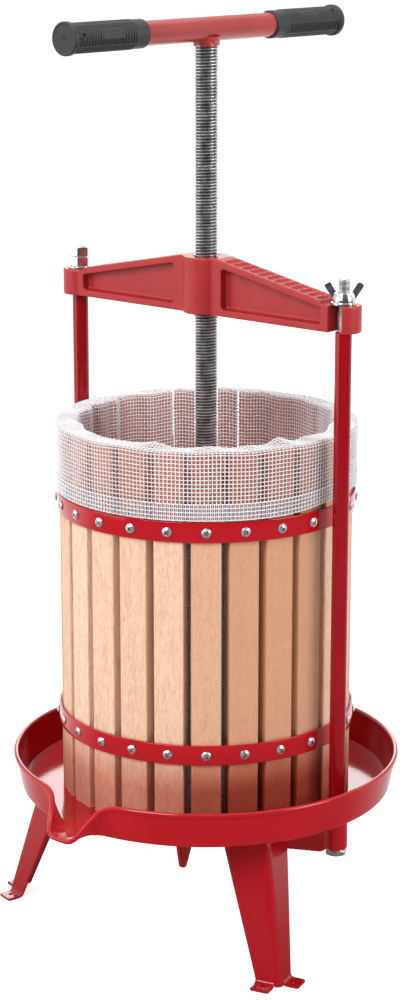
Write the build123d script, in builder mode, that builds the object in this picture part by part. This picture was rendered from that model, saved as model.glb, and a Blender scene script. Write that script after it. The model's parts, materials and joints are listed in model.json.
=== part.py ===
from build123d import *
from math import asin, cos, hypot, radians, sin, tan
import os

# Fruit press, millimetres. +Z up, floor at Z 0, press axis on Z, posts on X, spout towards -Y.

# Basket of staves
basket_bore = 260.0
stave_count = 25
stave_gap = 3.9
stave_thick = 16.5
stave_height = 376.0
stave_edge = 1.5
basket_turn = 7.8

# Hoops and the screws that hold the staves
hoop_height = 20.0
hoop_thick = 2.4
hoop_fit = 0.1
low_hoop_rise = 76.5
top_hoop_drop = 76.5
shank_d = 4.5
shank_in_stave = 13.0
shank_fit = 0.1
head_d = 9.2
head_height = 2.6
head_skirt = 0.8
cross_length = 5.0
cross_width = 1.1
cross_depth = 1.3

# Filter bag
bag_thick = 1.2
bag_fit = 0.3
hem_gap = 2.0

# Posts with threaded ends
post_d = 16.0
stud_d = 12.0
post_gap = 8.4
stud_fit = 0.3
stud_tip = 1.2
stud_rise = 2.6

# Tray and its spout
leg_height = 141.5
sheet = 2.5
tray_depth = 35.0
tray_flare = 7.0
tray_corner = 2.5
bead_d = 5.2
seal_d = 22.0
seal_thick = 1.2
seal_margin = 6.5
spout_reach = 26.0
spout_root_floor = 27.0
spout_root_top = 44.0
spout_tip_floor = 9.0
spout_tip_top = 20.0
spout_corner = 6.0
spout_lip = 9.0

# Legs of folded sheet
leg_sheet = 2.5
leg_angles = {"leg_right": -30.0, "leg_left": -150.0, "leg_rear": 90.0}
leg_inset = 13.3
leg_splay = 40.3
leg_top_width = 48.5
leg_foot_width = 24.5
leg_bend = 5.5
leg_fold = 45.0
foot_tab = 18.0
foot_hole_d = 5.5

# Base beam below the tray
beam_width = 16.0
beam_end_depth = 32.0
beam_seat_depth = 38.0
beam_mid_depth = 64.0
beam_mid_half = 24.0
seat_margin = 2.5
socket_d = 22.5
gusset_thick = 5.5
gusset_depth = 87.5
gusset_root = 49.0
gusset_tip = 32.0
gusset_tip_width = 6.0
gusset_round = 2.6
gusset_heel = 28.0

# Fasteners on the posts
nut_flats = 19.0
nut_height = 10.0
thin_nut_height = 5.0
washer_d = 24.0
washer_thick = 2.5
base_washer_d = 20.0
base_washer_thick = 1.2
nut_fit = 0.1

# Crosshead
head_room = 108.5
head_end_height = 26.0
head_mid_height = 55.5
head_thick = 28.0
end_boss_d = 34.0
mid_boss_d = 46.0
pivot_fit = 0.08
slot_fit = 2.0
rim = 7.0
pocket_depth = 9.0
pocket_round = 2.5
ladder_rungs = 12
rung_width = 3.2
ladder_rail = 4.5
ladder_depth = 2.5

# Press screw, handle and grips
screw_d = 24.0
screw_fit = 0.08
screw_stand = 217.6
collar_wall = 1.4
collar_height = 10.0
bar_d = 23.5
handle_half = 191.6
handle_turn = -91.8
grip_length = 100.5
grip_d = 28.5
grip_flange_d = 31.0
grip_flange = 5.0
grip_collar_d = 27.3
grip_collar = 16.0
grip_end = 4.0
grip_round = 0.4
grip_fit = 0.1

# Press plate and its swivel hub
plate_drop = 86.0
plate_clear = 12.0
plate_thick = 8.0
plate_rim_width = 7.0
plate_rim_height = 9.0
rib_count = 6
rib_thick = 6.0
hub_d = 48.0
hub_height = 30.0
hub_floor = 8.0
flange_d = 84.0
flange_thick = 6.0
plate_bolt_count = 4
plate_bolt_d = 6.0
plate_bolt_head_d = 10.0
plate_bolt_head = 4.0
bolt_fit = 0.25
pin_d = 5.0
pin_inset = 2.2
pin_fit = 0.25

# Wing nut
wing_base_d = 21.0
wing_top_d = 17.0
wing_base_height = 9.0
wing_span = 38.6
wing_height = 20.0
wing_thick = 3.2
wing_skirt = 2.5
wing_tip = 6.0
wing_tip_drop = 3.6
wing_round = 1.8
wing_turn = 36.0

# How far a cutting shape runs past what it cuts
overcut = 1.0

# Places worked out from the sizes above
stave_in = basket_bore / 2
stave_out = stave_in + stave_thick
stave_width = 2 * stave_in * tan(radians(180 / stave_count)) - stave_gap
hoop_in = hypot(stave_out, stave_width / 2) + hoop_fit
hoop_out = hoop_in + hoop_thick
post_x = hoop_out + head_height + post_gap + post_d / 2
tray_floor = leg_height + sheet
basket_top = tray_floor + stave_height
low_hoop_z = tray_floor + low_hoop_rise
top_hoop_z = basket_top - top_hoop_drop
floor_r = post_x + seal_d / 2 + seal_margin
wall_foot_r = floor_r + tray_corner
rim_r = wall_foot_r + tray_flare
rim_z = tray_floor + tray_depth
spout_tip_r = rim_r + spout_reach
head_z = basket_top + head_room
head_end_z = head_z + head_end_height
head_mid_z = head_z + head_mid_height
handle_z = head_mid_z + screw_stand
plate_z = basket_top - plate_drop
plate_top = plate_z + plate_thick
screw_tip = plate_top + hub_floor
plate_r = stave_in - bag_fit - bag_thick - plate_clear
stud_r = stud_d / 2
post_places = {"left": -post_x, "right": post_x}

os.makedirs("parts", exist_ok=True)


def save(piece, node):
    """Names a finished piece after its node and writes it."""
    piece.part.label = node
    export_step(piece.part, f"parts/{node}.step")


def turned(angle, z=0.0):
    """A level plane at height z whose x points along a plan angle in degrees."""
    direction = (cos(radians(angle)), sin(radians(angle)), 0)
    return Plane(origin=(0, 0, z), x_dir=direction, z_dir=(0, 0, 1))


def facing(angle, radius, z):
    """An upright plane that faces outwards at a plan angle, radius and height."""
    direction = (cos(radians(angle)), sin(radians(angle)), 0)
    middle = (radius * direction[0], radius * direction[1], z)
    return Plane(origin=middle, x_dir=(0, 0, 1), z_dir=direction)


def upright(x):
    """The vertical axis through a post."""
    return Axis((x, 0, 0), (0, 0, 1))


# Tray: a dished pan with a rolled rim
def bowl_profile(inner, height):
    """Points of the pan's section; inner leaves out the sheet's thickness."""
    slope = tray_flare / tray_depth
    outer = [(0, leg_height), (wall_foot_r, leg_height), (rim_r, height), (0, height)]
    inside = [(0, tray_floor), (wall_foot_r + slope * sheet - sheet, tray_floor),
              (rim_r - sheet, height), (0, height)]
    return inside if inner else outer


with BuildPart() as bowl_space:
    with BuildSketch(Plane.XZ) as bowl_inside:
        with BuildLine():
            Polyline(*bowl_profile(True, rim_z), close=True)
        make_face()
        foot = bowl_profile(True, rim_z)[1]
        fillet(bowl_inside.vertices().sort_by_distance((*foot, 0))[0], tray_corner)
    revolve(axis=Axis.Z)


def spout_section(radius, half_floor, half_top, low, wall):
    """One cross-section of the spout's trough, drawn in from its outside by the wall."""
    with BuildSketch(Plane.XZ.offset(radius)) as section:
        floor_half = half_floor - wall / 2
        top_half = half_top - wall
        with BuildLine():
            Polyline((-top_half, rim_z), (-floor_half, low + wall), (floor_half, low + wall),
                     (top_half, rim_z), close=True)
        make_face()
        fillet(section.vertices().group_by(Axis.Y)[0], spout_corner)
    return section.sketch


spout_root_r = floor_r - spout_reach
with BuildPart() as spout_space:
    loft([spout_section(spout_root_r, spout_root_floor, spout_root_top, leg_height, sheet),
          spout_section(spout_tip_r + overcut, spout_tip_floor, spout_tip_top, leg_height, sheet)],
         ruled=True)

with BuildPart() as tray:
    with BuildSketch(Plane.XZ) as bowl_outside:
        with BuildLine():
            Polyline(*bowl_profile(False, rim_z), close=True)
        make_face()
        foot = bowl_profile(False, rim_z)[1]
        fillet(bowl_outside.vertices().sort_by_distance((*foot, 0))[0], tray_corner + sheet)
    revolve(axis=Axis.Z)
    loft([spout_section(spout_root_r, spout_root_floor, spout_root_top, leg_height, 0),
          spout_section(spout_tip_r, spout_tip_floor, spout_tip_top, leg_height, 0)], ruled=True)
    add(bowl_space.part, mode=Mode.SUBTRACT)
    with BuildSketch(Plane.XZ):
        with Locations((rim_r - sheet / 2, rim_z - bead_d / 2)):
            Circle(bead_d / 2)
    revolve(axis=Axis.Z)
    add(spout_space.part, mode=Mode.SUBTRACT)
    with BuildSketch(Plane.YZ):
        with BuildLine():
            Polyline((-rim_r - bead_d / 2, rim_z), (-spout_tip_r - overcut, leg_height + spout_lip),
                     (-spout_tip_r - overcut, rim_z + overcut), (-rim_r - bead_d / 2, rim_z + overcut),
                     close=True)
        make_face()
    extrude(amount=spout_root_top, both=True, mode=Mode.SUBTRACT)
    for x in post_places.values():
        with BuildSketch(Plane((x, 0, leg_height))):
            Circle(stud_r + stud_fit)
        extrude(amount=sheet, mode=Mode.SUBTRACT)
save(tray, "tray")


# Legs: a folded angle with its corner outwards and two foot tabs
def leg_section(angle, z, corner_r, width):
    """The leg's angle section at one height, corner outwards."""
    with BuildSketch(turned(angle, z)) as section:
        reach = width * cos(radians(leg_fold))
        wall = leg_sheet / cos(radians(leg_fold))
        edge = leg_sheet * cos(radians(leg_fold))
        with BuildLine():
            Polyline((corner_r, 0), (corner_r - reach, reach), (corner_r - reach - edge, reach - edge),
                     (corner_r - wall, 0), (corner_r - reach - edge, edge - reach),
                     (corner_r - reach, -reach), close=True)
        make_face()
        fillet(section.vertices().sort_by_distance((corner_r, 0, 0))[0], leg_bend)
        fillet(section.vertices().sort_by_distance((corner_r - wall, 0, 0))[0], leg_bend - leg_sheet)
    return section.sketch


leg_top_r = floor_r - leg_inset
leg_foot_r = leg_top_r + leg_splay
for node, angle in leg_angles.items():
    with BuildPart() as leg:
        loft([leg_section(angle, 0, leg_foot_r, leg_foot_width),
              leg_section(angle, leg_height, leg_top_r, leg_top_width)], ruled=True)
        for side in (1, -1):
            with BuildSketch(turned(angle)) as tab:
                with Locations(Location((leg_foot_r, 0, 0), (0, 0, side * leg_fold))):
                    tab_length = leg_foot_width - leg_bend
                    tab_middle = side * (leg_bend + tab_length / 2)
                    with Locations((foot_tab / 2 - leg_sheet, tab_middle)):
                        RectangleRounded(foot_tab + leg_sheet, tab_length, leg_sheet)
                    with Locations((foot_tab / 2, tab_middle)):
                        Circle(foot_hole_d / 2, mode=Mode.SUBTRACT)
            extrude(amount=leg_sheet)
    save(leg, node)


# Base beam with a socket for each post, and the gusset on its spout side
beam_under = leg_height - beam_end_depth
seat_x = post_x - base_washer_d / 2 - seat_margin
with BuildPart() as base_beam:
    with BuildSketch(Plane.XZ):
        with BuildLine():
            Polyline((-post_x, leg_height), (post_x, leg_height), (post_x, beam_under),
                     (seat_x, beam_under), (seat_x, leg_height - beam_seat_depth),
                     (beam_mid_half, leg_height - beam_mid_depth),
                     (-beam_mid_half, leg_height - beam_mid_depth),
                     (-seat_x, leg_height - beam_seat_depth), (-seat_x, beam_under),
                     (-post_x, beam_under), close=True)
        make_face()
    extrude(amount=beam_width / 2, both=True)
    for x in post_places.values():
        with BuildSketch(Plane((x, 0, beam_under))):
            Circle(socket_d / 2)
        extrude(amount=beam_end_depth)
    for x in post_places.values():
        with BuildSketch(Plane((x, 0, beam_under))):
            Circle(stud_r + stud_fit)
        extrude(amount=beam_end_depth, mode=Mode.SUBTRACT)
save(base_beam, "base_beam")

with BuildPart() as gusset:
    with BuildSketch(Plane.YZ) as tongue:
        face_y = -beam_width / 2
        with BuildLine():
            Polyline((face_y, leg_height), (face_y - gusset_root, leg_height),
                     (face_y - gusset_tip, leg_height - gusset_depth),
                     (face_y - gusset_tip + gusset_tip_width, leg_height - gusset_depth),
                     (face_y, leg_height - gusset_heel), close=True)
        make_face()
        fillet(tongue.vertices().group_by(Axis.Y)[0], gusset_round)
    extrude(amount=gusset_thick / 2, both=True)
save(gusset, "base_gusset")

# Posts: plain bars with a threaded end above and below
post_foot = tray_floor + seal_thick
washer_top = head_end_z + washer_thick
base_nut_z = beam_under - base_washer_thick - thin_nut_height
post_tops = {"left": washer_top + 2 * nut_height + stud_tip,
             "right": washer_top + wing_height + stud_rise}
for side, x in post_places.items():
    with BuildPart() as post:
        with BuildSketch(Plane((x, 0, post_foot))):
            Circle(post_d / 2)
        extrude(amount=head_z - post_foot)
        with BuildSketch(Plane((x, 0, base_nut_z - stud_tip))):
            Circle(stud_r)
        extrude(amount=post_tops[side] - base_nut_z + stud_tip)
        ends = post.edges().filter_by(GeomType.CIRCLE).sort_by(Axis.Z)
        chamfer([ends[0], ends[-1]], stud_tip)
    save(post, f"{side}_post")


def ring(x, z, outer_d, inner_r, height):
    """A flat ring on a post, inside the part being built."""
    with BuildSketch(Plane((x, 0, z))) as face:
        Circle(outer_d / 2)
        Circle(inner_r, mode=Mode.SUBTRACT)
    extrude(face.sketch, amount=height)


def hex_nut(node, places, height):
    """Hexagon nuts with turned corners, one at each post and level given."""
    corner_r = nut_flats / 2 / cos(radians(30)) + overcut
    turn_drop = (corner_r - nut_flats / 2) * tan(radians(30))
    with BuildPart() as nut:
        for x, level in places:
            with BuildSketch(Plane((x, 0, level))) as hexagon:
                RegularPolygon(nut_flats / 2, 6, major_radius=False)
                Circle(stud_r + nut_fit, mode=Mode.SUBTRACT)
            extrude(hexagon.sketch, amount=height)
            with BuildSketch(Plane((x, 0, 0), x_dir=(1, 0, 0), z_dir=(0, -1, 0))) as corners:
                for face, inwards in ((level, turn_drop), (level + height, -turn_drop)):
                    with BuildLine():
                        Polyline((nut_flats / 2, face), (corner_r, face), (corner_r, face + inwards),
                                 close=True)
                    make_face()
            revolve(corners.sketch, axis=upright(x), mode=Mode.SUBTRACT)
    save(nut, node)


with BuildPart() as post_seals:
    for x in post_places.values():
        ring(x, tray_floor, seal_d, stud_r + nut_fit, seal_thick)
save(post_seals, "post_seals")

with BuildPart() as base_washers:
    for x in post_places.values():
        ring(x, beam_under - base_washer_thick, base_washer_d, stud_r + nut_fit, base_washer_thick)
save(base_washers, "base_washers")
hex_nut("base_nuts", [(x, base_nut_z) for x in post_places.values()], thin_nut_height)

with BuildPart() as pivot_washer:
    ring(-post_x, head_end_z, washer_d, stud_r + nut_fit, washer_thick)
save(pivot_washer, "pivot_washer")
hex_nut("pivot_nut", [(-post_x, washer_top)], nut_height)
hex_nut("pivot_lock_nut", [(-post_x, washer_top + nut_height)], nut_height)

with BuildPart() as clamp_washer:
    ring(post_x, head_end_z, washer_d, stud_r + nut_fit, washer_thick)
save(clamp_washer, "clamp_washer")

with BuildPart() as wing_nut:
    with BuildSketch(Plane((post_x, 0, 0), x_dir=(1, 0, 0), z_dir=(0, -1, 0))):
        with BuildLine():
            Polyline((0, washer_top), (wing_base_d / 2, washer_top),
                     (wing_base_d / 2, washer_top + wing_skirt),
                     (wing_top_d / 2, washer_top + wing_base_height), (0, washer_top + wing_base_height),
                     close=True)
        make_face()
    revolve(axis=upright(post_x))
    wing_dir = (cos(radians(wing_turn)), sin(radians(wing_turn)), 0)
    wing_side = (sin(radians(wing_turn)), -cos(radians(wing_turn)), 0)
    with BuildSketch(Plane((post_x, 0, washer_top), x_dir=wing_dir, z_dir=wing_side)) as wing:
        with BuildLine():
            Polyline((stud_r + overcut, wing_skirt), (wing_base_d / 2, wing_skirt),
                     (wing_span / 2, wing_height - wing_tip_drop), (wing_span / 2 - wing_tip, wing_height),
                     (stud_r + overcut, wing_base_height), close=True)
        make_face()
        fillet(wing.vertices().group_by(Axis.X)[-2:], wing_round)
        mirror(about=Plane.YZ)
    extrude(amount=wing_thick / 2, both=True)
    with BuildSketch(Plane((post_x, 0, washer_top))):
        Circle(stud_r + pivot_fit)
    extrude(amount=wing_height, mode=Mode.SUBTRACT)
save(wing_nut, "wing_nut")

# Crosshead: two tapered arms, a pivot boss, a hooked boss and a threaded middle boss
arm_slope = (head_mid_z - head_end_z) / (post_x - mid_boss_d / 2)


def arm_top(x):
    """Height of the arms' upper face at a distance from the middle."""
    return head_end_z + arm_slope * (post_x - x)


with BuildPart() as crosshead:
    with BuildSketch(Plane.XZ):
        with BuildLine():
            Polyline((-post_x, head_z), (post_x, head_z), (post_x, head_end_z),
                     (mid_boss_d / 2, head_mid_z), (-mid_boss_d / 2, head_mid_z),
                     (-post_x, head_end_z), close=True)
        make_face()
    extrude(amount=head_thick / 2, both=True)
    for x in post_places.values():
        with BuildSketch(Plane((x, 0, head_z))):
            Circle(end_boss_d / 2)
        extrude(amount=head_end_height)
        with BuildSketch(Plane((x, 0, head_end_z))):
            Rectangle(end_boss_d, end_boss_d)
        extrude(amount=head_mid_height, mode=Mode.SUBTRACT)
    with BuildSketch(Plane((0, 0, head_z))):
        Circle(mid_boss_d / 2)
    extrude(amount=head_mid_height)
    pocket_in = mid_boss_d / 2 + rim
    pocket_out = post_x - end_boss_d / 2
    for face in (1, -1):
        for side in (1, -1):
            pocket_plane = Plane((0, face * head_thick / 2, 0), x_dir=(side, 0, 0), z_dir=(0, -side, 0))
            with BuildSketch(pocket_plane) as pocket:
                with BuildLine():
                    Polyline((pocket_in, head_z + rim), (pocket_out, head_z + rim),
                             (pocket_out, arm_top(pocket_out) - rim), (pocket_in, arm_top(pocket_in) - rim),
                             close=True)
                make_face()
                fillet(pocket.vertices(), pocket_round)
            extrude(amount=face * side * pocket_depth, mode=Mode.SUBTRACT)
    rung_pitch = (pocket_out - pocket_in) / ladder_rungs
    for side in (1, -1):
        for rung in range(ladder_rungs):
            near = pocket_in + rung * rung_pitch + rung_width / 2
            far = near + rung_pitch - rung_width
            with BuildSketch(Plane.XZ):
                with BuildLine():
                    Polyline((side * near, arm_top(near) - ladder_depth),
                             (side * far, arm_top(far) - ladder_depth),
                             (side * far, arm_top(far) + overcut),
                             (side * near, arm_top(near) + overcut), close=True)
                make_face()
            extrude(amount=head_thick / 2 - ladder_rail, both=True, mode=Mode.SUBTRACT)
    with BuildSketch(Plane((0, 0, head_z))):
        Circle(screw_d / 2 + screw_fit)
        with Locations((-post_x, 0)):
            Circle(stud_r + pivot_fit)
        with Locations((post_x, 0)):
            Circle(stud_r + slot_fit)
        with Locations((post_x, -end_boss_d / 2)):
            Rectangle(stud_d + 2 * slot_fit, end_boss_d)
    extrude(amount=head_mid_height, mode=Mode.SUBTRACT)
save(crosshead, "crosshead")

# Press screw, held in the hub by two cross pins in its neck
bar_plane = facing(handle_turn, 0, handle_z)
pin_offset = screw_d / 2 + pin_d / 2 - pin_inset
pin_z = screw_tip + pin_d
weld_top = handle_z - bar_d / 2 + collar_height / 2
with BuildPart() as bar_space:
    with BuildSketch(bar_plane):
        Circle(bar_d / 2)
    extrude(amount=handle_half, both=True)

with BuildPart() as press_screw:
    with BuildSketch(Plane((0, 0, screw_tip))):
        Circle(screw_d / 2)
    extrude(amount=weld_top - screw_tip)
    with BuildSketch(Plane((0, 0, pin_z - pin_d / 2 - pin_fit))):
        Circle(screw_d / 2)
        Circle(pin_offset - pin_d / 2 - pin_fit, mode=Mode.SUBTRACT)
    extrude(amount=pin_d + 2 * pin_fit, mode=Mode.SUBTRACT)
    add(bar_space.part, mode=Mode.SUBTRACT)
save(press_screw, "press_screw")

with BuildPart() as weld_collar:
    ring(0, weld_top - collar_height, screw_d + 2 * collar_wall, screw_d / 2, collar_height)
    add(bar_space.part, mode=Mode.SUBTRACT)
save(weld_collar, "weld_collar")

with BuildPart() as handle_bar:
    with BuildSketch(bar_plane):
        Circle(bar_d / 2)
    extrude(amount=handle_half - grip_end - grip_fit, both=True)
save(handle_bar, "handle_bar")

# Grips: closed sleeves with an inner collar and an end flange
for node, turn in (("front_grip", handle_turn), ("rear_grip", handle_turn + 180)):
    grip_start = handle_half - grip_length
    with BuildPart() as grip:
        with BuildSketch(facing(turn, grip_start, handle_z)):
            Circle(grip_collar_d / 2)
        extrude(amount=grip_collar)
        with BuildSketch(facing(turn, grip_start + grip_collar, handle_z)):
            Circle(grip_d / 2)
        extrude(amount=grip_length - grip_collar)
        with BuildSketch(facing(turn, handle_half - grip_flange, handle_z)):
            Circle(grip_flange_d / 2)
        extrude(amount=grip_flange)
        rims = grip.edges().filter_by(GeomType.CIRCLE)
        fillet(rims.filter_by(lambda edge: edge.radius > grip_d / 2 - grip_round), grip_round)
        with BuildSketch(facing(turn, grip_start, handle_z)):
            Circle(bar_d / 2 + grip_fit)
        extrude(amount=grip_length - grip_end, mode=Mode.SUBTRACT)
    save(grip, node)

# Press plate with a raised rim and radial ribs
rib_in = flange_d / 2 + rib_thick
rib_out = plate_r - plate_rim_width / 2
bolt_r = (hub_d + flange_d) / 4
bolt_turn = 180 / plate_bolt_count
with BuildPart() as press_plate:
    with BuildSketch(Plane((0, 0, plate_z))):
        Circle(plate_r)
    extrude(amount=plate_thick)
    with BuildSketch(Plane((0, 0, plate_top))):
        Circle(plate_r)
        Circle(plate_r - plate_rim_width, mode=Mode.SUBTRACT)
        with PolarLocations((rib_out + rib_in) / 2, rib_count, 180 / rib_count):
            Rectangle(rib_out - rib_in, rib_thick)
    extrude(amount=plate_rim_height)
    with BuildSketch(Plane((0, 0, plate_z))):
        with PolarLocations(bolt_r, plate_bolt_count, bolt_turn):
            Circle(plate_bolt_d / 2 + bolt_fit)
    extrude(amount=plate_thick, mode=Mode.SUBTRACT)
save(press_plate, "press_plate")

with BuildPart() as swivel_hub:
    with BuildSketch(Plane((0, 0, plate_top))):
        Circle(flange_d / 2)
        with PolarLocations(bolt_r, plate_bolt_count, bolt_turn):
            Circle(plate_bolt_d / 2 + bolt_fit, mode=Mode.SUBTRACT)
    extrude(amount=flange_thick)
    with BuildSketch(Plane((0, 0, plate_top))):
        Circle(hub_d / 2)
    extrude(amount=hub_height)
    with BuildSketch(Plane((0, 0, screw_tip))):
        Circle(screw_d / 2 + screw_fit)
    extrude(amount=hub_height - hub_floor, mode=Mode.SUBTRACT)
    for side in (1, -1):
        with BuildSketch(Plane.XZ.offset(-hub_d)):
            with Locations((side * pin_offset, pin_z)):
                Circle(pin_d / 2)
        extrude(amount=2 * hub_d, mode=Mode.SUBTRACT)
save(swivel_hub, "swivel_hub")

with BuildPart() as swivel_pins:
    pin_half = hub_d / 2 * cos(asin(pin_offset / (hub_d / 2)))
    with BuildSketch(Plane.XZ):
        with Locations((pin_offset, pin_z), (-pin_offset, pin_z)):
            Circle(pin_d / 2)
    extrude(amount=pin_half, both=True)
save(swivel_pins, "swivel_pins")

with BuildPart() as plate_bolts:
    with BuildSketch(Plane((0, 0, plate_z))):
        with PolarLocations(bolt_r, plate_bolt_count, bolt_turn):
            Circle(plate_bolt_d / 2)
    extrude(amount=plate_thick + flange_thick)
    with BuildSketch(Plane((0, 0, plate_top + flange_thick))):
        with PolarLocations(bolt_r, plate_bolt_count, bolt_turn):
            RegularPolygon(plate_bolt_head_d / 2, 6, major_radius=False)
    extrude(amount=plate_bolt_head)
save(plate_bolts, "plate_bolts")

# Hoops, with a hole at every stave
stave_angles = [basket_turn + 360 / stave_count * step for step in range(stave_count)]
hoop_levels = {"upper": top_hoop_z, "lower": low_hoop_z}
screw_point = stave_out - shank_in_stave
dome_rise = head_height - head_skirt
dome_r = ((head_d / 2) ** 2 + dome_rise ** 2) / (2 * dome_rise)
dome_x = hoop_out + head_height - dome_r
dome_half = asin(head_d / 2 / dome_r) / 2
for level, z in hoop_levels.items():
    with BuildPart() as hoop:
        with BuildSketch(Plane((0, 0, z - hoop_height / 2))):
            Circle(hoop_out)
            Circle(hoop_in, mode=Mode.SUBTRACT)
        extrude(amount=hoop_height)
        for angle in stave_angles:
            with BuildSketch(facing(angle, stave_in, z)):
                Circle(shank_d / 2 + shank_fit)
            extrude(amount=hoop_out - stave_in + hoop_thick, mode=Mode.SUBTRACT)
    save(hoop, f"{level}_hoop")

    with BuildPart() as hoop_screw:
        with BuildSketch(Plane.XZ):
            with BuildLine():
                tip = Line((screw_point, z), (screw_point + shank_d / 2, z + shank_d / 2))
                shank = Line(tip @ 1, (hoop_out, z + shank_d / 2))
                seat = Line(shank @ 1, (hoop_out, z + head_d / 2))
                skirt = Line(seat @ 1, (hoop_out + head_skirt, z + head_d / 2))
                dome_mid = (dome_x + dome_r * cos(dome_half), z + dome_r * sin(dome_half))
                dome = ThreePointArc(skirt @ 1, dome_mid, (hoop_out + head_height, z))
                Line(dome @ 1, tip @ 0)
            make_face()
        revolve(axis=Axis((0, 0, z), (1, 0, 0)))
        cross_plane = Plane((hoop_out + head_height - cross_depth, 0, z), x_dir=(0, 1, 1), z_dir=(1, 0, 0))
        with BuildSketch(cross_plane):
            Rectangle(cross_length, cross_width)
            Rectangle(cross_width, cross_length)
        extrude(amount=head_height, mode=Mode.SUBTRACT)
    with BuildPart() as hoop_screws:
        with PolarLocations(0, stave_count, basket_turn):
            add(hoop_screw.part)
    save(hoop_screws, f"{level}_hoop_screws")

# Staves, each with a pilot hole at both hoops
for step, angle in enumerate(stave_angles):
    with BuildPart() as stave:
        with BuildSketch(turned(angle, tray_floor)):
            with Locations(((stave_in + stave_out) / 2, 0)):
                RectangleRounded(stave_thick, stave_width, stave_edge)
        extrude(amount=stave_height)
        for z in hoop_levels.values():
            with BuildSketch(facing(angle, screw_point - shank_fit, z)):
                Circle(shank_d / 2 + shank_fit)
            extrude(amount=shank_in_stave + stave_thick, mode=Mode.SUBTRACT)
    save(stave, f"stave_{step + 1:02d}")

# Filter bag: a lining with its cuff folded over the basket's top
with BuildPart() as filter_bag:
    lining_r = stave_in - bag_fit
    cuff_r = hoop_in + bag_fit
    cuff_z = top_hoop_z + hoop_height / 2 + hem_gap
    bag_floor = tray_floor + bag_fit
    bag_top = basket_top + bag_fit
    with BuildSketch(Plane.XZ):
        with BuildLine():
            Polyline((0, bag_floor), (lining_r, bag_floor), (lining_r, bag_top), (cuff_r, bag_top),
                     (cuff_r, cuff_z), (cuff_r + bag_thick, cuff_z),
                     (cuff_r + bag_thick, bag_top + bag_thick), (lining_r - bag_thick, bag_top + bag_thick),
                     (lining_r - bag_thick, bag_floor + bag_thick), (0, bag_floor + bag_thick), close=True)
        make_face()
    revolve(axis=Axis.Z)
save(filter_bag, "filter_bag")
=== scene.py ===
import json
import math
from contextlib import contextmanager

import bmesh
import bpy
import numpy as np
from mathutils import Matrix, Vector


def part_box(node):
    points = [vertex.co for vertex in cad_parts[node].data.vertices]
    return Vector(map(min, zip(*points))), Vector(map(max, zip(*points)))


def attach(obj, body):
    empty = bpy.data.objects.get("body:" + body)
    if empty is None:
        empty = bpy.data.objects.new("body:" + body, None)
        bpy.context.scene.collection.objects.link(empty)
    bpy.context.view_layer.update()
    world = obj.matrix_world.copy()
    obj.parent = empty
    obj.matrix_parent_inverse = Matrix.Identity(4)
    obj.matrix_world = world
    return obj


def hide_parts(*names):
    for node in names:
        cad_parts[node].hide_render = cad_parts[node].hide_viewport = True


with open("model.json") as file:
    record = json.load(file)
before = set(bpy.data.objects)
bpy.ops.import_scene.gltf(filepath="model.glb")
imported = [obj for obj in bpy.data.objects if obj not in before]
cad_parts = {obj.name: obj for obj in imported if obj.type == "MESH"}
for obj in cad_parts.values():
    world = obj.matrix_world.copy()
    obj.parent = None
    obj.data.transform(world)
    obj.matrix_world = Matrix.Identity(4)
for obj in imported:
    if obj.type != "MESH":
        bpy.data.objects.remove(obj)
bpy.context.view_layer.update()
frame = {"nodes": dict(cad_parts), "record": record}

# A fruit press: metres, +Z up, press axis on Z, posts on X, spout towards -Y
scene = bpy.context.scene
chance = np.random.default_rng(18)
full_turn = 2 * math.pi
up = np.array([0.0, 0.0, 1.0])
same_place = 1e-6


def reach(node, way):
    """How far a CAD node goes from the axis along a direction."""
    return max(Vector(way).dot(corner.co) for corner in frame["nodes"][node].data.vertices)


# Places read from the frame
tray_low, tray_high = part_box("tray")
stave_low, stave_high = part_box("stave_01")
screw_low, screw_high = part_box("press_screw")
post_low, post_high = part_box("right_post")
bar_low, bar_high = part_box("handle_bar")
bag_low, bag_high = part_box("filter_bag")
hoop_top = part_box("upper_hoop")[1].z
head_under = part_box("crosshead")[0].z
weld_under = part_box("weld_collar")[0].z
seal_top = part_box("post_seals")[1].z
plate_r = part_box("press_plate")[1].x
tray_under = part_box("leg_rear")[1].z
tray_floor = stave_low.z
basket_top = stave_high.z
rim_z = tray_high.z
post_x = (post_low.x + post_high.x) / 2
post_r = (post_high.x - post_low.x) / 2
bar_r = (bar_high.z - bar_low.z) / 2
screw_r = screw_high.x

# The angles and threads that the part was built with
handle_z = (bar_low.z + bar_high.z) / 2
handle_turn = math.radians(-91.8)
handle_half = reach("front_grip", (math.cos(handle_turn), math.sin(handle_turn), 0.0))
basket_turn = math.radians(7.8)
stave_count = 25
stave_step = full_turn / stave_count
screw_depth, screw_pitch = 0.0019, 0.003
stud_r, stud_depth, stud_pitch = 0.006, 0.0010, 0.00175

# Meshes


def placed(name, data):
    """An object in the scene with a mesh, a camera or a lamp."""
    thing = bpy.data.objects.new(name, data)
    scene.collection.objects.link(thing)
    return thing


def link(name, mesh, body, material, replaces=(), smooth_angle=35.0):
    """Puts a mesh in the scene as a piece that rides on a body."""
    piece = placed(name, mesh)
    mesh.materials.clear()
    mesh.materials.append(material)
    mesh.shade_smooth()
    mesh.set_sharp_from_angle(angle=math.radians(smooth_angle))
    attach(piece, body)
    if replaces:
        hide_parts(*replaces)
    return piece


@contextmanager
def edited(mesh):
    """A mesh opened for bmesh steps and written back after them."""
    work = bmesh.new()
    work.from_mesh(mesh)
    yield work
    work.to_mesh(mesh)
    work.free()


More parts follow.
